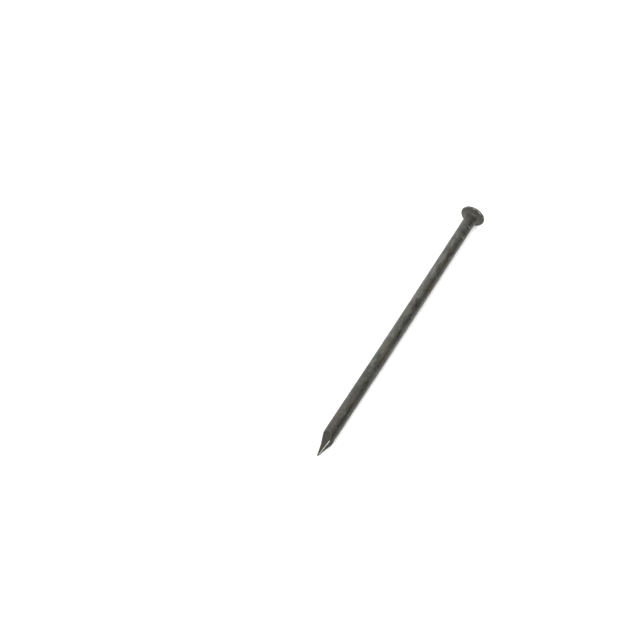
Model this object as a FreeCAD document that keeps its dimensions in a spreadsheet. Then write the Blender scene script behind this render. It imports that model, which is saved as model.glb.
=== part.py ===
import FreeCAD, Part
import math
import os
import Sketcher

# A wire nail, 100 x 4 mm, slightly bent: one piece of hard drawn steel wire.
#
# The wire is a round pipe along a path that is straight below the head, curves gently for a third
# of its length and runs straight on to the point. The head is upset from the wire, the gripping
# dies leave ribbed marks under it, and the cutting dies leave four hollow facets at the point.
# Lengths are in millimetres and angles in degrees.
#
# The nail is drawn with +X running from the middle of the head's face down the shank, and with the
# bend in the XZ plane, hollow side up, because a round nail rolls until its bend hangs down. The
# placement then lays it on the floor with its length along X, on the head's rim and on the last
# full section of the shank, and centres its box over the origin.

DIMENSIONS = [
    ("overallLength", "100.5", "along the wire, from the head's face to the end of the point"),
    ("wireRadius", "2.0", "half the wire's diameter"),
    ("bendStart", "33.9", "straight wire from the head's face to the bend"),
    ("bendRun", "36.2", "length of the bent stretch"),
    ("bendTurn", "1.46", "angle that the bend turns the wire through"),
    ("bendRadius", "=bendRun / bendTurn * 180 / pi", "radius of the bent stretch"),
    ("lastRun", "=overallLength - bendStart - bendRun", "straight wire from the bend to the end"),
    ("endX", "=bendStart + bendRadius * sin(bendTurn * 1deg) + lastRun * cos(bendTurn * 1deg)",
     "X of the wire's end"),
    ("endZ", "=bendRadius * (1 - cos(bendTurn * 1deg)) + lastRun * sin(bendTurn * 1deg)",
     "Z of the wire's end"),
    ("headRadius", "4.05", "half the head's diameter"),
    ("rimThickness", "0.5", "thickness of the head's edge"),
    ("rimRound", "0.14", "rounding of the head's edge"),
    ("coneLength", "0.75", "depth of the cone under the rim"),
    ("neckRound", "0.8", "fillet between the cone and the shank"),
    ("gripStart", "4.6", "from the head's face to the first die mark"),
    ("gripPitch", "1.2", "spacing of the die marks"),
    ("gripCount", "7", "die marks on each side"),
    ("gripDepth", "0.12", "depth of a die mark"),
    ("gripWidth", "0.5", "width of a die mark at the wire's surface"),
    ("gripSpan", "84", "how far a die mark reaches round the wire"),
    ("gripRoll", "46", "where one die's marks are centred, from +Y towards +Z"),
    ("scrapeCentre", "21.9", "from the head's face to the middle of the flattened spot"),
    ("scrapeLength", "7.6", "length of the flattened spot"),
    ("scrapeDepth", "0.12", "depth of the flattened spot"),
    ("scrapeHollow", "=(scrapeLength ^ 2 / 4 + scrapeDepth ^ 2) / (2 * scrapeDepth)", "its radius"),
    ("scrapeRoll", "104", "where the flattened spot faces, from +Y towards +Z"),
    ("pointLength", "7.3", "length of a facet of the point"),
    ("pointHalf", "0.25", "half the width of the point's blunt end"),
    ("pointHollow", "30", "radius of the hollow along each facet"),
    ("pointShift", "0.35", "how far the point sits to the +Y side of the wire's axis"),
    ("pointRoll", "9", "where the first facet faces, from +Y towards +Z"),
    ("facetDrop", "=wireRadius - pointHalf", "how far a facet drops from the wire to the end"),
    ("facetChord", "=sqrt(pointLength ^ 2 + facetDrop ^ 2)", "length of a facet along its slope"),
    ("facetReach", "=sqrt(pointHollow ^ 2 - facetChord ^ 2 / 4)", "cutter's middle to that slope"),
]
FACETS = 4
DIE_ROLLS = {"Front": 0, "Back": 180}  # the two gripping dies close on opposite sides
TOOTH_RISE = 0.2  # how far the outline of a die tooth stands off the wire


def makeSheet(doc):
    sheet = doc.addObject("Spreadsheet::Sheet", "Dims")
    for row, (alias, value, meaning) in enumerate(DIMENSIONS, 1):
        sheet.set(f"A{row}", meaning)
        sheet.set(f"B{row}", value)
        sheet.setAlias(f"B{row}", alias)
    doc.recompute()
    return sheet


def sketchOn(body, role, name, offset=None):
    """A sketch on one of the body's origin planes, moved by an offset formula."""
    plane = next(f for f in body.Origin.OriginFeatures if f.Role == role)
    sketch = body.newObject("Sketcher::SketchObject", name)
    sketch.AttachmentSupport = [(plane, "")]
    sketch.MapMode = "FlatFace"
    if offset:
        sketch.setExpression("AttachmentOffset", offset)
    return sketch


def rolled(formula):
    """The offset formula that turns a sketch about the wire's straight run below the head."""
    return f"placement(vector(0; 0; 0); rotation(vector(1; 0; 0); {formula}))"


def bind(sketch, kind, where, formula):
    """Adds a constraint whose value follows a formula on the sheet."""
    value = float(sketch.evalExpression(formula))
    index = sketch.addConstraint(Sketcher.Constraint(kind, *where, value))
    sketch.setExpression(f"Constraints[{index}]", formula)


def pinPoint(sketch, geometry, vertex, place):
    """Holds one point of a sketch at a pair of formulas."""
    for kind, formula in zip(("DistanceX", "DistanceY"), place):
        bind(sketch, kind, (-1, 1, geometry, vertex), formula)


def pointAt(sketch, place):
    return FreeCAD.Vector(*[float(sketch.evalExpression(formula)) for formula in place], 0)


def addOutline(sketch, corners):
    """A closed outline of straight lines through corners, each a pair of formulas."""
    points = [pointAt(sketch, corner) for corner in corners]
    following = points[1:] + points[:1]
    for start, end in zip(points, following):
        sketch.addGeometry(Part.LineSegment(start, end))
    for i, corner in enumerate(corners):
        sketch.addConstraint(Sketcher.Constraint("Coincident", i, 2, (i + 1) % len(corners), 1))
        pinPoint(sketch, i, 1, corner)


def addCircle(sketch, place, radius):
    """A circle about a pair of formulas, with a formula for its radius."""
    size = float(sketch.evalExpression(radius))
    sketch.addGeometry(Part.Circle(pointAt(sketch, place), FreeCAD.Vector(0, 0, 1), size))
    bind(sketch, "Radius", (0,), radius)
    pinPoint(sketch, 0, 3, place)


def makeShank(doc, body, sheet):
    path = sketchOn(body, "XZ_Plane", "WirePath")
    turn = math.radians(sheet.bendTurn)
    middle = FreeCAD.Vector(sheet.bendStart, sheet.bendRadius, 0)
    circle = Part.Circle(middle, FreeCAD.Vector(0, 0, 1), sheet.bendRadius)
    bend = Part.ArcOfCircle(circle, -math.pi / 2, -math.pi / 2 + turn)
    path.addGeometry(Part.LineSegment(FreeCAD.Vector(), bend.StartPoint))
    path.addGeometry(bend)
    path.addGeometry(Part.LineSegment(bend.EndPoint, FreeCAD.Vector(sheet.endX, sheet.endZ, 0)))
    path.addConstraint(Sketcher.Constraint("Coincident", 0, 1, -1, 1))
    path.addConstraint(Sketcher.Constraint("Horizontal", 0))
    path.addConstraint(Sketcher.Constraint("Tangent", 0, 2, 1, 1))
    path.addConstraint(Sketcher.Constraint("Tangent", 1, 2, 2, 1))
    bind(path, "Distance", (0,), "Dims.bendStart")
    bind(path, "Radius", (1,), "Dims.bendRadius")
    bind(path, "Distance", (2,), "Dims.lastRun")
    pinPoint(path, 2, 2, ("Dims.endX",))
    section = sketchOn(body, "YZ_Plane", "WireSection")
    addCircle(section, ("0", "0"), "Dims.wireRadius")
    doc.recompute()
    shank = body.newObject("PartDesign::AdditivePipe", "Shank")
    shank.Profile = section
    shank.Spine = (path, ["Edge1", "Edge2", "Edge3"])
    doc.recompute()


def isCircle(edge, radius, x=None):
    """Whether an edge is part of a circle of this radius, at this X where one is given."""
    if not isinstance(edge.Curve, Part.Circle):
        return False
    placed = x is None or math.isclose(edge.Curve.Center.x, x, abs_tol=1e-4)
    return placed and math.isclose(edge.Curve.Radius, radius, abs_tol=1e-4)


def roundEdges(doc, body, name, radius, edges):
    """Fillets some edges of the body as it stands."""
    base = body.Tip
    chosen = [f"Edge{i}" for i, edge in enumerate(base.Shape.Edges, 1) if edges(edge)]
    fillet = body.newObject("PartDesign::Fillet", name)
    fillet.Base = (base, chosen)
    fillet.setExpression("Radius", radius)
    doc.recompute()


def makeHead(doc, body, sheet):
    profile = sketchOn(body, "XY_Plane", "HeadProfile")
    coneEnd = "Dims.rimThickness + Dims.coneLength"
    addOutline(profile, [
        ("0", "0"),
        ("0", "Dims.headRadius"),
        ("Dims.rimThickness", "Dims.headRadius"),
        (coneEnd, "Dims.wireRadius"),
        (coneEnd, "0"),
    ])
    doc.recompute()
    head = body.newObject("PartDesign::Revolution", "Head")
    head.Profile = profile
    head.ReferenceAxis = (profile, ["H_Axis"])
    head.Angle = 360
    doc.recompute()
    neckX = sheet.rimThickness + sheet.coneLength
    roundEdges(doc, body, "RimRound", "Dims.rimRound", lambda e: isCircle(e, sheet.headRadius))
    roundEdges(doc, body, "NeckRound", "Dims.neckRound",
               lambda e: isCircle(e, sheet.wireRadius, neckX))


def cutRound(doc, body, name, offset, place, radius):
    """A cut across the wire by a large round cutter, which the sketch shows from its side."""
    sketch = sketchOn(body, "XY_Plane", f"{name}Cutter", offset)
    addCircle(sketch, place, radius)
    doc.recompute()
    cut = body.newObject("PartDesign::Pocket", name)
    cut.Profile = sketch
    cut.Type = "ThroughAll"
    cut.SideType = "Symmetric"
    doc.recompute()
    return sketch, cut


def cutPoint(doc, body):
    """One hollow facet, repeated round the point's own axis."""
    offset = (
        "placement(vector(Dims.endX; 0; Dims.endZ); rotation(vector(0; -1; 0); Dims.bendTurn))"
        " * placement(vector(0; Dims.pointShift; 0); rotation(vector(1; 0; 0); Dims.pointRoll))"
    )
    place = (
        "-Dims.pointLength / 2 + Dims.facetReach * Dims.facetDrop / Dims.facetChord",
        "(Dims.wireRadius + Dims.pointHalf) / 2"
        " + Dims.facetReach * Dims.pointLength / Dims.facetChord",
    )
    sketch, facet = cutRound(doc, body, "Facet", offset, place, "Dims.pointHollow")
    facets = body.newObject("PartDesign::PolarPattern", "Point")
    facets.Originals = [facet]
    facets.Axis = (sketch, ["H_Axis"])
    facets.Angle = 360
    facets.Occurrences = FACETS
    body.Tip = facets
    doc.recompute()


def cutGripMarks(doc, body):
    """Each gripping die leaves a row of V marks, cut part of the way round the wire."""
    rise = f"(Dims.gripDepth + {TOOTH_RISE}) / Dims.gripDepth"
    for side, roll in DIE_ROLLS.items():
        tooth = sketchOn(body, "XY_Plane", f"{side}Tooth", rolled(f"Dims.gripRoll + {roll}"))
        addOutline(tooth, [
            (f"Dims.gripStart - Dims.gripWidth / 2 * {rise}", f"Dims.wireRadius + {TOOTH_RISE}"),
            ("Dims.gripStart", "Dims.wireRadius - Dims.gripDepth"),
            (f"Dims.gripStart + Dims.gripWidth / 2 * {rise}", f"Dims.wireRadius + {TOOTH_RISE}"),
        ])
        doc.recompute()
        mark = body.newObject("PartDesign::Groove", f"{side}Mark")
        mark.Profile = tooth
        mark.ReferenceAxis = (tooth, ["H_Axis"])
        mark.Midplane = True
        mark.setExpression("Angle", "Dims.gripSpan")
        doc.recompute()
        row = body.newObject("PartDesign::LinearPattern", f"{side}Marks")
        row.Originals = [mark]
        row.Direction = (tooth, ["H_Axis"])
        row.setExpression("Length", "Dims.gripPitch * (Dims.gripCount - 1)")
        row.setExpression("Occurrences", "Dims.gripCount")
        body.Tip = row
        doc.recompute()


def cutScrape(doc, body):
    place = ("Dims.scrapeCentre", "Dims.wireRadius - Dims.scrapeDepth + Dims.scrapeHollow")
    cutRound(doc, body, "Scrape", rolled("Dims.scrapeRoll"), place, "Dims.scrapeHollow")


def layDown(body, sheet):
    """Rests the nail on its rim and on the end of its full section, centred over the origin."""
    turn = math.radians(sheet.bendTurn)
    back = sheet.pointLength
    fullEndX = sheet.endX - back * math.cos(turn) + sheet.wireRadius * math.sin(turn)
    fullEndZ = sheet.endZ - back * math.sin(turn) - sheet.wireRadius * math.cos(turn)
    roundX = sheet.rimThickness - sheet.rimRound
    roundZ = sheet.rimRound - sheet.headRadius
    reach = math.hypot(fullEndX - roundX, fullEndZ - roundZ)
    slope = math.atan2(fullEndZ - roundZ, fullEndX - roundX) + math.asin(sheet.rimRound / reach)
    laid = FreeCAD.Rotation(FreeCAD.Vector(0, 1, 0), math.degrees(slope))
    body.Placement = FreeCAD.Placement(FreeCAD.Vector(), laid)
    box = body.Shape.optimalBoundingBox(False)
    shift = FreeCAD.Vector(-box.Center.x, -box.Center.y, -box.ZMin)
    body.Placement = FreeCAD.Placement(shift, laid)


def checkDocument(doc):
    """Stops the script at anything that failed, and at a cut that took nothing away."""
    for item in doc.Objects:
        if set(item.State) & {"Invalid", "Error"}:
            raise RuntimeError(f"{item.Label} failed: {item.State}")
        if item.isDerivedFrom("PartDesign::Feature"):
            if item.Shape.isNull() or not item.Shape.isValid():
                raise RuntimeError(f"{item.Label} has no valid shape")
            before = item.BaseFeature.Shape.Volume if item.BaseFeature else 0
            change = item.Shape.Volume - before
            print(f"{item.Label}: {change:+.3f} mm3")
            cuts = item.isDerivedFrom("PartDesign::Pocket") or item.isDerivedFrom("PartDesign::Groove")
            if abs(change) < 1e-3 or (cuts and change > 0):
                raise RuntimeError(f"{item.Label} changed nothing")


def main():
    doc = FreeCAD.newDocument("BentNail")
    sheet = makeSheet(doc)
    nail = doc.addObject("PartDesign::Body", "Nail")
    nail.Label = "nail"
    makeShank(doc, nail, sheet)
    makeHead(doc, nail, sheet)
    cutPoint(doc, nail)
    cutGripMarks(doc, nail)
    cutScrape(doc, nail)
    layDown(nail, sheet)
    doc.recompute()
    checkDocument(doc)
    if len(nail.Shape.Solids) != 1:
        raise RuntimeError("the nail isn't one solid")
    os.makedirs("parts", exist_ok=True)
    nail.Shape.exportStep(f"parts/{nail.Label}.step")
    box = nail.Shape.optimalBoundingBox(False)
    print(f"nail: {box.XLength:.3f} x {box.YLength:.3f} x {box.ZLength:.3f} mm, lowest {box.ZMin:.5f}")
    print(f"volume {nail.Shape.Volume:.2f} mm3, {nail.Placement}")


main()
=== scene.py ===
import bpy
import math
import numpy as np
from mathutils import Matrix, Vector


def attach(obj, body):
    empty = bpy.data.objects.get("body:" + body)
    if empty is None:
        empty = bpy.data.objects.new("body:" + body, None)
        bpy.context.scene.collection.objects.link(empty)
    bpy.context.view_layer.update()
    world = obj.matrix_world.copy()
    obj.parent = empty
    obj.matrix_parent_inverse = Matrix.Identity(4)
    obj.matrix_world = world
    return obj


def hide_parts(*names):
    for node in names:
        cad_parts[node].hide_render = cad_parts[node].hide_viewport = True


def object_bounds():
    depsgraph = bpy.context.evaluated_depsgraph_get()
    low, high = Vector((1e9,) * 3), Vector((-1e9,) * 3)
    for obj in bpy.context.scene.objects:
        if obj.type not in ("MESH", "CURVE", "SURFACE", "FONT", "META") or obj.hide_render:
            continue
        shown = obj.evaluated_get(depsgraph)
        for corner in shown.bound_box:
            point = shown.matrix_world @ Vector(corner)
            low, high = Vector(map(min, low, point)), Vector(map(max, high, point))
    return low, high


# A slightly bent wire nail of dark drawn steel, lying on a white floor.
# The nail is worked out straight, ring by ring down the wire, then bent and laid down.
# Its sizes are in mm and degrees. Places are mm down the wire from the face of the head,
# and angles round the wire run from +Y towards +Z.

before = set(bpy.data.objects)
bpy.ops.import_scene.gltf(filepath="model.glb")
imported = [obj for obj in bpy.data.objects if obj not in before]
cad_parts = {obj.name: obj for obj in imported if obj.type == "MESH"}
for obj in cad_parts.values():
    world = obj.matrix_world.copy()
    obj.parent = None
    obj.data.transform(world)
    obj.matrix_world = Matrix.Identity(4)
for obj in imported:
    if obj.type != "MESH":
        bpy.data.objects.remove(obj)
cadLow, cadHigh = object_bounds()

nail = {
    "length": 100.5,  # along the wire
    "wire": 2.0,  # radius of the wire
    "bendStart": 33.9,
    "bendRun": 36.2,
    "bendTurn": 1.46,
    "segments": 144,  # points round each ring
    "coarse": 0.42,  # longest step between rings
    "growth": 0.15,  # how fast the steps lengthen away from fine work
    "sway": 0.012,  # slow unevenness of the wire
    "ripple": 0.03,  # and quicker unevenness
    "seed": 19,
}


def spacing():
    # the steps between rings are short where there is fine work, and a little past it
    gripEnd = grip["start"] + grip["pitch"] * (grip["count"] - 1)
    scrapeHalf = scrape["length"] / 2
    pointStart = nail["length"] - point["length"]
    zones = [
        (grip["start"] - 0.5, gripEnd + 0.5, grip["step"]),
        (scrape["centre"] - scrapeHalf - 0.4, scrape["centre"] + scrapeHalf + 0.4, scrape["step"]),
        (pointStart - 0.6, nail["length"], point["step"]),
        (nail["length"] - 0.4, nail["length"], point["step"] / 2),
    ]
    return zones + [(at - size, at + size, size * 0.45) for at, angle, size, depth in pits]


def wirePlaces(start):
    # where the rings of the wire lie, from the neck to the end
    zones = spacing()
    places = [start]
    while places[-1] < nail["length"]:
        here = places[-1]
        steps = [fine + nail["growth"] * max(low - here, here - high, 0) for low, high, fine in zones]
        places.append(here + min(steps + [nail["coarse"]]))
    places = np.array(places[1:])
    stretch = (nail["length"] - start) / (places[-1] - start)
    return start + (places - start) * stretch


head = {
    "radius": 4.05,
    "rim": 0.5,  # thickness of the edge
    "rounding": 0.14,
    "cone": 0.75,
    "neck": 0.8,  # fillet onto the wire
    "faceRings": 24,
    "roundRings": 5,
    "coneRings": 10,
    "neckRings": 9,
    "rimWave": 0.035,  # how far the rim waves along the wire
    "edgeWave": 0.03,  # and in and out
    "edgeWear": 0.36,  # how bright its back edge is
    "edgeWidth": 0.12,
    "knockInside": 0.3,  # a knock is bright a little inside the edge
    "knockWidth": 0.16,
    "neckShade": 0.7,  # how dark the neck is painted, painted shade in the crease under the head
}


def headSection():
    # place and radius of each ring of the head, from the middle of its face to the end of its neck
    lean = math.atan2(head["radius"] - nail["wire"], head["cone"])
    inner = head["radius"] - head["rounding"]
    rimEnd = head["rim"] - head["rounding"] * math.tan(lean / 2)
    neckAt = head["rim"] + head["cone"] + head["neck"] * math.tan(lean / 2)
    face = [(0, inner * k / head["faceRings"]) for k in range(1, head["faceRings"] + 1)]
    outer = [(head["rounding"] * (1 - math.cos(a)), inner + head["rounding"] * math.sin(a))
             for a in np.linspace(0, math.pi / 2, head["roundRings"])[1:]]
    under = [(rimEnd + head["rounding"] * math.sin(a), inner + head["rounding"] * math.cos(a))
             for a in np.linspace(0, lean, head["roundRings"])]
    neck = [(neckAt - head["neck"] * math.sin(a), nail["wire"] + head["neck"] * (1 - math.cos(a)))
            for a in np.linspace(lean, 0, head["neckRings"])]
    cone = [tuple(np.add(under[-1], np.subtract(neck[0], under[-1]) * k / head["coneRings"]))
            for k in range(1, head["coneRings"])]
    return np.array(face + outer + under + cone + neck).T


def apart(angle, middle):
    # how far an angle is from another, in degrees, the short way round
    return (angle - middle + 180) % 360 - 180


def softMin(a, b, softness):
    # the lower of two, with the corner where they cross rounded off
    return np.minimum(a, b) - np.maximum(softness - np.abs(a - b), 0) ** 2 / (4 * softness)


def wave(angle, low, high, rng):
    # an uneven wave round the wire, between -1 and 1
    total = sum(rng.normal() / k ** 0.6 * np.cos(np.radians(k * angle + rng.uniform(0, 360)))
                for k in range(low, high))
    return total / np.abs(total).max()


def drift(along, angle, longest, rng, turns=3, count=14):
    # slow unevenness down and round the wire, between -1 and 1
    total = 0
    for k in range(count):
        rate = 360 / longest * rng.uniform(0.6, 3)
        around = rng.integers(-turns, turns + 1) * angle
        total = total + np.cos(np.radians(rate * along + around + rng.uniform(0, 360)))
    return total / np.abs(total).max()


# the bright knocks on the rim: angle, width, depth and how worn
rimKnocks = [
    (54, 8, 0.03, 1.5),
    (68, 3, 0.01, 0.5),
    (89, 6, 0.02, 1.3),
    (131, 9, 0.02, 0.3),
    (13, 16, 0.02, 0.35),
    (196, 6, 0.05, 0.7),
    (318, 5, 0.04, 0.6),
]


def knockHead(skin, rng):
    # the rim is a little out of round and wavy, and has been knocked
    share = np.clip((skin.radius - nail["wire"]) / (head["radius"] - nail["wire"]), 0, 1) ** 3
    free = 0.5 - 0.5 * np.cos(np.radians(apart(skin.angle, 270)))  # nothing where the head rests
    skin.radius += share * free * head["edgeWave"] * wave(skin.angle, 2, 6, rng)
    skin.along += share * head["rimWave"] * wave(skin.angle, 2, 9, rng)
    inside = head["radius"] - skin.radius
    behind = skin.along > head["rim"] - 0.08
    backEdge = np.exp(-((inside - 0.1) / head["edgeWidth"]) ** 2) * behind
    underRim = np.exp(-((inside - head["knockInside"]) / head["knockWidth"]) ** 2) * behind
    uneven = 1 + 0.6 * wave(skin.angle, 3, 22, rng)
    skin.wear += backEdge * head["edgeWear"] * uneven
    # painted shade in the neck's crease under the head
    skin.dirt += head["neckShade"] * np.exp(-((skin.along - 1.4) / 0.45) ** 2)
    for middle, width, depth, worn in rimKnocks:
        hit = np.exp(-(apart(skin.angle, middle) / width) ** 2) * share ** 2
        skin.radius -= hit * depth
        skin.wear += hit * worn * underRim


grip = {
    "start": 4.6,
    "pitch": 1.2,
    "count": 7,
    "depth": 0.12,
    "width": 0.5,
    "span": 84,
    "rolls": (46, 226),
    "lip": 0.04,
    "lipAt": 1.35,  # from a mark's middle, in half widths
    "stray": 6,  # how many degrees a mark may be off its roll
    "step": 0.065,  # between rings
    "shine": (0.5, 0.85, 0.1, 0.4, 0.05, 0.9, 0.05),  # how brightly the lip of each mark is worn
    "darkening": (0.6, 0.4, 1.2, 0.7, 1.3, 0.5, 1.2),  # how dark each mark is
    "shineRoll": -5,  # the worn stretch is to one side of the marks' middle
    "shineWidth": 19,
}


def pressGrip(skin, rng):
    # the gripping dies bite V marks into both sides, some deep and some faint
    for roll in grip["rolls"]:
        for k in range(grip["count"]):
            off = apart(skin.angle, roll + rng.uniform(-grip["stray"], grip["stray"]))
            middle = grip["start"] + grip["pitch"] * (k + rng.uniform(-0.05, 0.05))
            slant = rng.uniform(-0.002, 0.002)
            reach = grip["span"] / 2 * rng.uniform(0.72, 1.05)
            fade = np.clip(1 - np.abs(off / reach) ** 3, 0, 1)
            across = (skin.along - middle - slant * off) / (grip["width"] / 2)
            bite = grip["depth"] * rng.uniform(0.5, 1.05) * fade * np.clip(1.1 - np.abs(across), 0, 1)
            lips = fade * np.exp(-((np.abs(across) - grip["lipAt"]) / 0.4) ** 2)
            skin.radius += grip["lip"] * rng.uniform(0.5, 1) * lips - bite
            shine = np.exp(-((off - grip["shineRoll"]) / grip["shineWidth"]) ** 2)
            worn = shine * np.exp(-(across - 1.3) ** 2)
            skin.wear += worn * grip["shine"][k] * (0.7 + 0.3 * wave(skin.angle, 3, 30, rng))
            # darkens each mark in and around its groove
            skin.dirt += grip["darkening"][k] * fade * np.exp(-((across + 0.2) / 0.9) ** 2)


scrape = {
    "centre": 21.9,
    "length": 7.6,
    "depth": 0.12,
    "roll": 104,
    "reach": 60,  # degrees to either side
    "twist": 2.2,  # degrees for each mm down the wire
    "lip": 0.012,
    "ragged": 0.012,
    "wear": 0.14,
    "step": 0.11,
}


def pressScrape(skin, rng):
    # a long flat rubbed into the upper side, with a ragged edge
    hollow = (scrape["length"] ** 2 / 4 + scrape["depth"] ** 2) / (2 * scrape["depth"])
    down = skin.along - scrape["centre"]
    off = apart(skin.angle, scrape["roll"] + scrape["twist"] * down)
    ragged = scrape["ragged"] * drift(skin.along, skin.angle, 4, rng)
    floor = nail["wire"] - scrape["depth"] + down ** 2 / (2 * hollow) + ragged
    floor = floor / np.maximum(np.cos(np.radians(off)), 0.2)
    above = skin.radius - floor
    near = (np.abs(down) < scrape["length"] / 2 + 0.6) & (np.abs(off) < scrape["reach"])
    onLip = np.exp(-((above + 0.02) / 0.02) ** 2)
    cut = softMin(skin.radius, floor, 0.03) + onLip * scrape["lip"]
    skin.radius = np.where(near, cut, skin.radius)
    skin.rub += np.clip(above / 0.03, 0, 1) * near
    skin.wear += scrape["wear"] * near * onLip * (1 + drift(skin.along, skin.angle, 3, rng))


# small craters with bright lips: place, angle, radius, depth
pits = [
    (37.1, 88, 0.1, 0.03),
    (50.8, 82, 0.12, 0.035),
    (58.7, 84, 0.16, 0.04),
    (72.4, 79, 0.12, 0.04),
    (72.9, 87, 0.08, 0.025),
]
pitLook = {"wear": 0.4, "dirt": 0.6}
dings = {
    "count": 40,
    "places": (12, 88),  # between these, down the wire
    "size": (0.25, 1.1),
    "narrow": (0.35, 0.8),  # width for each mm of size
    "depth": (0.008, 0.04),
    "wear": (0, 0.14),
}


def dent(skin, at, angle, size, width, depth):
    # a smooth hollow with a faint lip, and how far in it each point is
    down = (skin.along - at) / size
    off = np.radians(apart(skin.angle, angle)) * nail["wire"] / width
    far = down ** 2 + off ** 2
    onWire = skin.along > head["rim"] + head["cone"]
    lip = 0.35 * np.exp(-((np.sqrt(far) - 1.35) / 0.3) ** 2)
    skin.radius -= depth * onWire * (np.exp(-far * 1.6) - lip)
    return np.where(onWire, far, 99)


def strikeDings(skin, rng):
    for k in range(dings["count"]):
        size = rng.uniform(*dings["size"])
        at = rng.uniform(*dings["places"])
        angle = rng.uniform(0, 360)
        width = size * rng.uniform(*dings["narrow"])
        far = dent(skin, at, angle, size, width, rng.uniform(*dings["depth"]))
        skin.wear += rng.uniform(*dings["wear"]) * np.exp(-((np.sqrt(far) - 1.1) / 0.3) ** 2)
    for at, angle, size, depth in pits:
        far = dent(skin, at, angle, size, size, depth)
        skin.wear += pitLook["wear"] * np.exp(-((np.sqrt(far) - 1) / 0.45) ** 2)
        skin.dirt += pitLook["dirt"] * np.exp(-far * 4)


# where the scale has turned brown: place, angle, length, degrees, strength
stains = [
    (25.0, 50, 1.9, 19, 1.3),
    (33.5, 28, 2.4, 20, 1.0),
    (63.0, 58, 2.4, 24, 1.1),
    (80.5, 40, 2.6, 24, 0.9),
    (87.8, 96, 2.0, 20, 0.7),
    (14.0, 200, 3.0, 40, 0.7),
    (47.0, 250, 3.5, 45, 0.8),
    (70.0, 310, 3.0, 40, 0.7),
    (3.0, 60, 1.6, 60, 0.6),
]


def stainWire(skin):
    for at, angle, length, width, strength in stains:
        far = ((skin.along - at) / length) ** 2 + (apart(skin.angle, angle) / width) ** 2
        skin.stain += strength * np.exp(-far)


point = {
    "length": 7.3,
    "half": 0.25,  # half the width of the blunt end
    "hollow": 30,  # radius of each facet's hollow
    "shift": 0.35,  # off the wire's middle, towards +Y
    "shiftRun": 5,
    "roll": 9,
    "facets": 4,
    "ridge": 0.035,  # softness of the ridges
    "ridgeWidth": 0.15,  # of their bright line
    "edgeWear": 0.25,  # how bright the facets' edges are on the wire
    "burr": 0.03,
    "uneven": 0.012,
    "stray": 0.02,  # how much higher or lower one facet may be
    "dirtySpan": 48,  # the facet at the point's roll is darkened this far to either side, a painted shadow
    "endRound": 0.2,
    "endShrink": 0.55,
    "endWave": 0.12,
    "endCrown": 0.03,
    "step": 0.088,
}


def shiftMiddle(skin):
    # rings are drawn about a middle that moves over to the point's own, so ridges follow their lines
    before = nail["length"] - point["length"]
    share = np.clip((skin.along - before + point["shiftRun"]) / point["shiftRun"], 0, 1)
    skin.middle = point["shift"] * share ** 2 * (3 - 2 * share)
    turn = np.radians(skin.angle)
    moved = np.sqrt(skin.radius ** 2 - (skin.middle * np.sin(turn)) ** 2) - skin.middle * np.cos(turn)
    skin.radius = np.where(skin.middle > 0, moved, skin.radius)


def cutPoint(skin, rng):
    # four hollow facets, with ridges between them and burrs where the dies met
    drop = nail["wire"] - point["half"]
    chord = math.hypot(point["length"], drop)
    reach = math.sqrt(point["hollow"] ** 2 - chord ** 2 / 4)
    cutterAt = point["length"] / 2 - reach * drop / chord
    cutterUp = (nail["wire"] + point["half"]) / 2 + reach * point["length"] / chord
    left = np.minimum(nail["length"] - skin.along, point["length"] + 1)  # mm to the end
    near = left < point["length"] + 0.5
    floor = cutterUp - np.sqrt(point["hollow"] ** 2 - (left - cutterAt) ** 2)
    faces = []
    for k in range(point["facets"]):
        off = apart(skin.angle, point["roll"] + 90 * k)
        uneven = point["uneven"] * drift(skin.along, skin.angle, 5, rng)
        uneven = uneven + rng.uniform(-point["stray"], point["stray"])
        faces.append((floor + uneven) / np.maximum(np.cos(np.radians(off)), 0.25))
    faces = np.sort(np.array(faces), axis=0)
    lowest = softMin(faces[0], faces[1], point["ridge"])
    cut = np.clip((skin.radius - faces[0]) / 0.05, 0, 1) * near
    onRidge = np.exp(-((faces[1] - faces[0]) / point["ridgeWidth"]) ** 2) * cut
    onEdge = np.exp(-((skin.radius - faces[0]) / 0.04) ** 2) * near
    burr = point["burr"] * onRidge * (0.5 + 0.5 * drift(skin.along, skin.angle, 3, rng, turns=0))
    skin.radius = np.where(near, softMin(skin.radius, lowest, 0.03) + burr, skin.radius)
    patchyEdge = onEdge * (0.6 + 0.4 * drift(skin.along, skin.angle, 2, rng))
    skin.wear += onRidge + point["edgeWear"] * patchyEdge
    skin.cut += cut
    # painted shadow darkens the facet at the point's roll
    skin.dirt += cut * np.clip(1 - (apart(skin.angle, point["roll"]) / point["dirtySpan"]) ** 4, 0, 1)
    blunt = np.clip(1 - left / point["endRound"], 0, 1)
    skin.radius *= 1 - point["endShrink"] * blunt ** 2
    nearEnd = np.clip(1 - left / 1.2, 0, 1)
    skin.radius *= 1 + point["endWave"] * nearEnd * wave(skin.angle, 2, 5, rng)
    skin.dirt += 0.5 * np.clip(1 - left / 0.8, 0, 1)


def bendWire(along, side, up):
    # carries straight places onto the bent wire: straight, an arc, then straight again
    bendRadius = nail["bendRun"] / math.radians(nail["bendTurn"])
    lean = np.clip(along - nail["bendStart"], 0, nail["bendRun"]) / bendRadius
    past = np.maximum(along - nail["bendStart"] - nail["bendRun"], 0)
    x = np.minimum(along, nail["bendStart"]) + bendRadius * np.sin(lean) + past * np.cos(lean)
    z = bendRadius * (1 - np.cos(lean)) + past * np.sin(lean)
    return np.stack([x - up * np.sin(lean), side, z + up * np.cos(lean)], -1)


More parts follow.
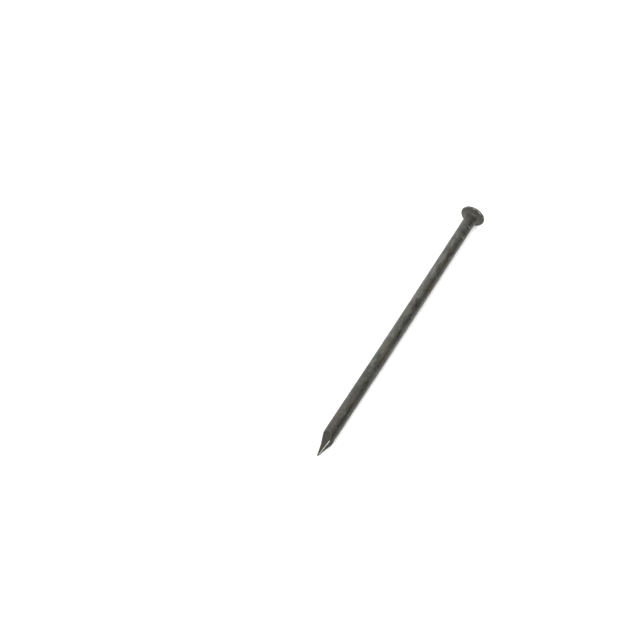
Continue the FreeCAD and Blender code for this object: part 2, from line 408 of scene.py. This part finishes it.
def layDown():
    # the nail lies on the rounding of its rim and on the last full section of its wire
    fullEnd = np.array([nail["length"] - point["length"]])
    foot = bendWire(fullEnd, np.zeros(1), np.full(1, -nail["wire"]))[0]
    roundAt = head["rim"] - head["rounding"]
    inner = head["radius"] - head["rounding"]
    reach = math.hypot(foot[0] - roundAt, foot[2] + inner)
    slope = math.atan2(foot[2] + inner, foot[0] - roundAt) + math.asin(head["rounding"] / reach)
    turn = Matrix.Rotation(slope, 3, "Y")
    corner = turn @ Vector((head["rounding"], 0, -inner))
    foot = turn @ Vector(foot)
    start = cadLow * 1000
    move = Vector((start.x + head["rounding"] - corner.x, 0, start.z - foot.z))
    return np.array(turn), np.array(move)


# dirt holds real dirt in the pits, darkening of the grip marks and the very end, and painted shade on the
# neck and one facet of the point
skinMasks = ("wear", "dirt", "rub", "cut", "stain")  # the mesh gets each of them as 0 to 1
endMasks = (0, 0.3)  # all of them, in the middle of the face and on the very end


class Skin:
    # the nail's surface as a grid, with a row for each ring and a column for each angle
    def __init__(self):
        headAlong, headRadius = headSection()
        wireAlong = wirePlaces(headAlong[-1])
        rings = np.concatenate([headAlong, wireAlong])
        angles = np.arange(nail["segments"]) * 360 / nail["segments"]
        self.along, self.angle = np.meshgrid(rings, angles, indexing="ij")
        radius = np.concatenate([headRadius, np.full(len(wireAlong), nail["wire"])])
        self.radius = np.repeat(radius[:, None], nail["segments"], 1)
        self.middle = np.zeros_like(self.radius)
        for name in skinMasks:
            setattr(self, name, np.zeros_like(self.radius))


def nailFaces(rows, columns):
    # squares between rings, and a fan at each end
    here = np.arange(columns)
    after = (here + 1) % columns
    squares = [np.stack([k * columns + here, k * columns + after,
                         (k + 1) * columns + after, (k + 1) * columns + here], 1) for k in range(rows - 1)]
    last = (rows - 1) * columns
    faceMiddle = rows * columns
    faceFan = [(faceMiddle, int(b), int(a)) for a, b in zip(here, after)]
    endFan = [(faceMiddle + 1, int(last + a), int(last + b)) for a, b in zip(here, after)]
    return np.concatenate(squares).tolist() + faceFan + endFan


def addPointData(mesh, name, kind, field, values):
    data = mesh.attributes.new(name, kind, "POINT")
    data.data.foreach_set(field, np.ascontiguousarray(values, dtype=np.float32).ravel())


def makeNail():
    rng = np.random.default_rng(nail["seed"])
    skin = Skin()
    onWire = skin.along > headSection()[0][-1]
    skin.radius += onWire * nail["sway"] * drift(skin.along, skin.angle, 40, rng)
    skin.radius += onWire * nail["ripple"] * drift(skin.along, skin.angle, 7, rng, turns=6, count=40)
    knockHead(skin, rng)
    pressGrip(skin, rng)
    pressScrape(skin, rng)
    strikeDings(skin, rng)
    stainWire(skin)
    shiftMiddle(skin)
    cutPoint(skin, rng)
    turn = np.radians(skin.angle)
    side = skin.middle + skin.radius * np.cos(turn)
    up = skin.radius * np.sin(turn)
    straight = np.stack([skin.along, side, up], -1).reshape(-1, 3)
    ends = np.array([[0, 0, 0], [nail["length"] + point["endCrown"], point["shift"], 0]])
    straight = np.concatenate([straight, ends])
    turnBy, moveBy = layDown()
    laid = bendWire(*straight.T) @ turnBy.T + moveBy
    mesh = bpy.data.meshes.new("bentNail")
    mesh.from_pydata((laid / 1000).tolist(), [], nailFaces(*skin.radius.shape))
    mesh.shade_smooth()
    addPointData(mesh, "drawn", "FLOAT_VECTOR", "vector", straight)
    for name in skinMasks:
        values = np.clip(getattr(skin, name), 0, 1).ravel()
        addPointData(mesh, name, "FLOAT", "value", np.concatenate([values, endMasks]))
    mesh.validate()
    bentNail = bpy.data.objects.new("bentNail", mesh)
    bpy.context.scene.collection.objects.link(bentNail)
    print("nail:", len(skin.radius), "rings,", sum(len(f.vertices) - 2 for f in mesh.polygons), "triangles")
    return bentNail


class Shade:
    # one socket of a material's nodes; sums written with it become Math nodes
    def __init__(self, tree, socket=None):
        self.tree = tree
        self.socket = socket

    def make(self, kind, settings, inputs, output=0):
        node = self.tree.nodes.new("ShaderNode" + kind)
        for name, value in settings.items():
            setattr(node, name, value)
        for name, value in inputs.items():
            if isinstance(value, Shade):
                self.tree.links.new(value.socket, node.inputs[name])
            else:
                node.inputs[name].default_value = value
        return Shade(self.tree, node.outputs[output] if node.outputs else None)

    def maths(self, operation, first, second):
        return self.make("Math", {"operation": operation}, {0: first, 1: second})

    def __add__(self, other):
        return self.maths("ADD", self, other)

    def __sub__(self, other):
        return self.maths("SUBTRACT", self, other)

    def __rsub__(self, other):
        return self.maths("SUBTRACT", other, self)

    def __mul__(self, other):
        return self.maths("MULTIPLY", self, other)

    __radd__ = __add__
    __rmul__ = __mul__

    def stretched(self, along, across):
        return self.make("VectorMath", {"operation": "MULTIPLY"}, {0: self, 1: (along, across, across)})

    def noise(self, along, across, detail, roughness):
        return self.make("TexNoise", {}, {"Vector": self.stretched(along, across), "Scale": 1,
                                          "Detail": detail, "Roughness": roughness})

    def between(self, low, high):
        # 0 below low and 1 above high
        return self.make("MapRange", {"interpolation_type": "SMOOTHSTEP"},
                         {"Value": self, "From Min": low, "From Max": high})

    def mixed(self, first, second):
        # a colour from first to second as this goes from 0 to 1
        return self.make("Mix", {"data_type": "RGBA"}, {0: self, 6: first, 7: second}, 2)


steel = {
    "darkScale": (0.05, 0.05, 0.043, 1),
    "paleScale": (0.117, 0.116, 0.104, 1),
    "olive": (0.082, 0.084, 0.064, 1),
    "brown": (0.09, 0.074, 0.057, 1),
    # painted shade for the neck under the head
    "paintedNeckShade": (0.036, 0.034, 0.025, 1),
    # painted shade towards the point
    "pointShade": (0.055, 0.0535, 0.043, 1),
    "rubbed": (0.082, 0.086, 0.074, 1),
    "headScale": (0.028, 0.028, 0.019, 1),
    "facet": (0.043, 0.042, 0.035, 1),
    "bare": (0.5, 0.5, 0.475, 1),
    # dark colour for real soot and for painted shade
    "sootAndShade": (0.026, 0.026, 0.022, 1),
    "roughness": 0.41,
    "metallic": 0.9,
    "bumpHeight": 0.00002,  # m
}
# the patterns in the finish: scale down the wire, scale round it, detail, roughness
patterns = {
    "lines": (0.05, 6, 6, 0.65),
    "fineLines": (0.16, 24, 3, 0.55),
    "clouds": (0.3, 0.6, 6, 0.6),
    "blots": (0.9, 1.3, 5, 0.7),
    "mottle": (1.7, 2.3, 4, 0.6),
    "grain": (11, 11, 5, 0.65),
    "specks": (3.2, 4.2, 2, 0.55),
    "scuffs": (0.8, 9, 3, 0.7),
    "olive": (0.14, 0.5, 4, 0.55),
    "brown": (0.2, 0.7, 5, 0.55),
}
# where the finish and the painted shade change: each starts and ends this many mm from the face of the head
changes = {
    "darker": (40, 85),
    "toPoint": (80, 93),
    "headOut": (0.9, 2.2),
    "gripIn": (1.4, 2.6),
    "gripOut": (9.5, 13),
    "neckShadeIn": (0.5, 1.1),
    "neckShadeOut": (2.6, 5),
}


def makeSteel():
    material = bpy.data.materials.new("darkDrawnSteel")
    material.use_nodes = True
    tree = material.node_tree
    tree.nodes.clear()
    shade = Shade(tree)
    drawn = shade.make("Attribute", {"attribute_name": "drawn"}, {}, "Vector")
    wear, dirt, rub, cut, stain = [shade.make("Attribute", {"attribute_name": name}, {}, "Fac")
                                   for name in skinMasks]
    place = shade.make("SeparateXYZ", {}, {"Vector": drawn}, "X")
    lines, fineLines, clouds, blots, mottle, grain, specks, scuffs, olive, brown = [
        drawn.noise(*pattern) for pattern in patterns.values()]
    darker, toPoint, headOut, gripIn, gripOut, neckShadeIn, neckShadeOut = [
        place.between(*span) for span in changes.values()]
    onHead = 1 - headOut
    gripped = gripIn * (1 - gripOut)
    specks = specks.between(0.66, 0.74)
    scuffs = scuffs.between(0.6, 0.72) * blots.between(0.45, 0.62)

    # dark and pale scale in patches, tinted olive and brown, and darker towards the point
    patchy = clouds * 0.9 + lines * 0.4 + blots * 0.6 + mottle * 0.6 - 0.75 - 0.12 * darker
    colour = patchy.between(0.28, 0.7).mixed(steel["darkScale"], steel["paleScale"])
    colour = (olive.between(0.45, 0.7) * 0.7).mixed(colour, steel["olive"])
    tint = stain + 0.6 * brown.between(0.54, 0.68)
    colour = (tint * blots.between(0.3, 0.6) * 0.75).mixed(colour, steel["brown"])
    # painted shade darkens the wire towards the point
    colour = (toPoint * (0.1 + 0.6 * clouds)).mixed(colour, steel["pointShade"])
    # the flattened spot, the point's facets and the head
    colour = (rub * (0.2 + 0.7 * lines)).mixed(colour, steel["rubbed"])
    # the facets are dark cut metal, with their colour made darker still as painted shade
    colour = (cut * 0.85).mixed(colour, steel["facet"])
    colour = (onHead * (0.5 + 0.7 * blots)).mixed(colour, steel["headScale"])
    # painted shade on the neck, soot and dirt darkened further by painted shade, and bare metal on what
    # stands proud
    # the neck darkened in patches: painted shade under the head
    paintedNeckShade = neckShadeIn * (1 - neckShadeOut) * (blots + 0.2 * lines).between(0.3, 0.5)
    colour = paintedNeckShade.mixed(colour, steel["paintedNeckShade"])
    # real soot on specks and dirt, plus painted shade on the wire next to the head and wherever dirt
    # carries it
    sootAndShade = (dirt * 0.8 + specks * 0.7 + gripped * (0.1 + 0.4 * blots)).between(0.08, 1)
    colour = sootAndShade.mixed(colour, steel["sootAndShade"])
    worn = (wear * (0.45 + 1.1 * grain) + 0.5 * scuffs * (1 - gripped)).between(0.15, 0.8)
    colour = worn.mixed(colour, steel["bare"])

    roughness = steel["roughness"] + 0.16 * (grain - 0.5) + 0.2 * (clouds - 0.5) + 0.12 * (lines - 0.5)
    roughness = roughness + 0.2 * sootAndShade - 0.12 * worn - 0.04 * rub + 0.1 * tint
    height = 0.5 * lines + 0.22 * fineLines + 0.5 * grain - 0.6 * specks - 0.2 * scuffs
    height = height + 3 * blots + 5 * clouds + 1.6 * mottle
    normal = shade.make("Bump", {}, {"Strength": 1, "Distance": steel["bumpHeight"], "Height": height})
    surface = shade.make("BsdfPrincipled", {}, {
        "Base Color": colour,
        "Roughness": roughness,
        "Metallic": steel["metallic"] + 0.1 * worn - 0.3 * sootAndShade - 0.4 * onHead - 0.4 * paintedNeckShade,
        "Normal": normal,
    })
    shade.make("OutputMaterial", {}, {"Surface": surface})
    return material


sheet = {"size": 6, "shade": 0.95, "roughness": 0.9}


def makeFloor():
    half = sheet["size"] / 2
    mesh = bpy.data.meshes.new("floor")
    corners = [(-half, -half, 0), (half, -half, 0), (half, half, 0), (-half, half, 0)]
    mesh.from_pydata(corners, [], [(0, 1, 2, 3)])
    material = bpy.data.materials.new("whitePaper")
    material.use_nodes = True
    paper = material.node_tree.nodes["Principled BSDF"]
    paper.inputs["Base Color"].default_value = (*[sheet["shade"]] * 3, 1)
    paper.inputs["Roughness"].default_value = sheet["roughness"]
    paper.inputs["Specular IOR Level"].default_value = 0
    mesh.materials.append(material)
    floor = bpy.data.objects.new("floor", mesh)
    bpy.context.scene.collection.objects.link(floor)


camera = {
    "lens": 59.95,
    "sensor": 36,
    "distance": 0.3249,
    "elevation": 53.72,
    "heading": 210.2,  # which way it looks, from +X towards +Y
    "beside": (0.0084, -0.0232),  # from the nail's middle to the spot it looks at
}


def direction(heading, elevation):
    # the way from the nail to something seen in that heading and at that height
    flat = math.cos(math.radians(elevation))
    return Vector((flat * math.cos(math.radians(heading)), flat * math.sin(math.radians(heading)),
                   math.sin(math.radians(elevation))))


def makeCamera():
    data = bpy.data.cameras.new("camera")
    data.lens = camera["lens"]
    data.sensor_width = camera["sensor"]
    data.clip_start = 0.01
    view = bpy.data.objects.new("camera", data)
    middle = (cadLow + cadHigh) / 2
    aim = Vector((middle.x + camera["beside"][0], middle.y + camera["beside"][1], cadLow.z))
    away = direction(camera["heading"] + 180, camera["elevation"])
    view.location = aim + away * camera["distance"]
    view.rotation_euler = (-away).to_track_quat("-Z", "Y").to_euler()
    bpy.context.scene.collection.objects.link(view)
    bpy.context.scene.camera = view


# soft lights: heading, elevation, distance, width, height, power
lights = {
    "windowLight": (232, 34, 1.6, 2.2, 1.8, 22.5),
    "topLight": (32, 68, 1.7, 1.8, 1.8, 46),
    "tableLight": (352, 15, 1.5, 2.0, 0.7, 6),
}
roomLight = 0.26


def makeLights():
    for name, (heading, elevation, distance, width, height, power) in lights.items():
        data = bpy.data.lights.new(name, "AREA")
        data.shape = "RECTANGLE"
        data.size = width
        data.size_y = height
        data.energy = power
        lamp = bpy.data.objects.new(name, data)
        away = direction(heading, elevation)
        lamp.location = away * distance
        lamp.rotation_euler = (-away).to_track_quat("-Z", "Y").to_euler()
        bpy.context.scene.collection.objects.link(lamp)
    room = bpy.data.worlds.new("room")
    room.use_nodes = True
    room.node_tree.nodes["Background"].inputs["Color"].default_value = (1, 1, 1, 1)
    room.node_tree.nodes["Background"].inputs["Strength"].default_value = roomLight
    bpy.context.scene.world = room
    bpy.context.scene.view_settings.view_transform = "Standard"


bentNail = makeNail()
bentNail.data.materials.append(makeSteel())
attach(bentNail, "root")
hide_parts("nail")
print("steel: done")

makeFloor()
makeCamera()
makeLights()
print("floor, camera and lights: done")
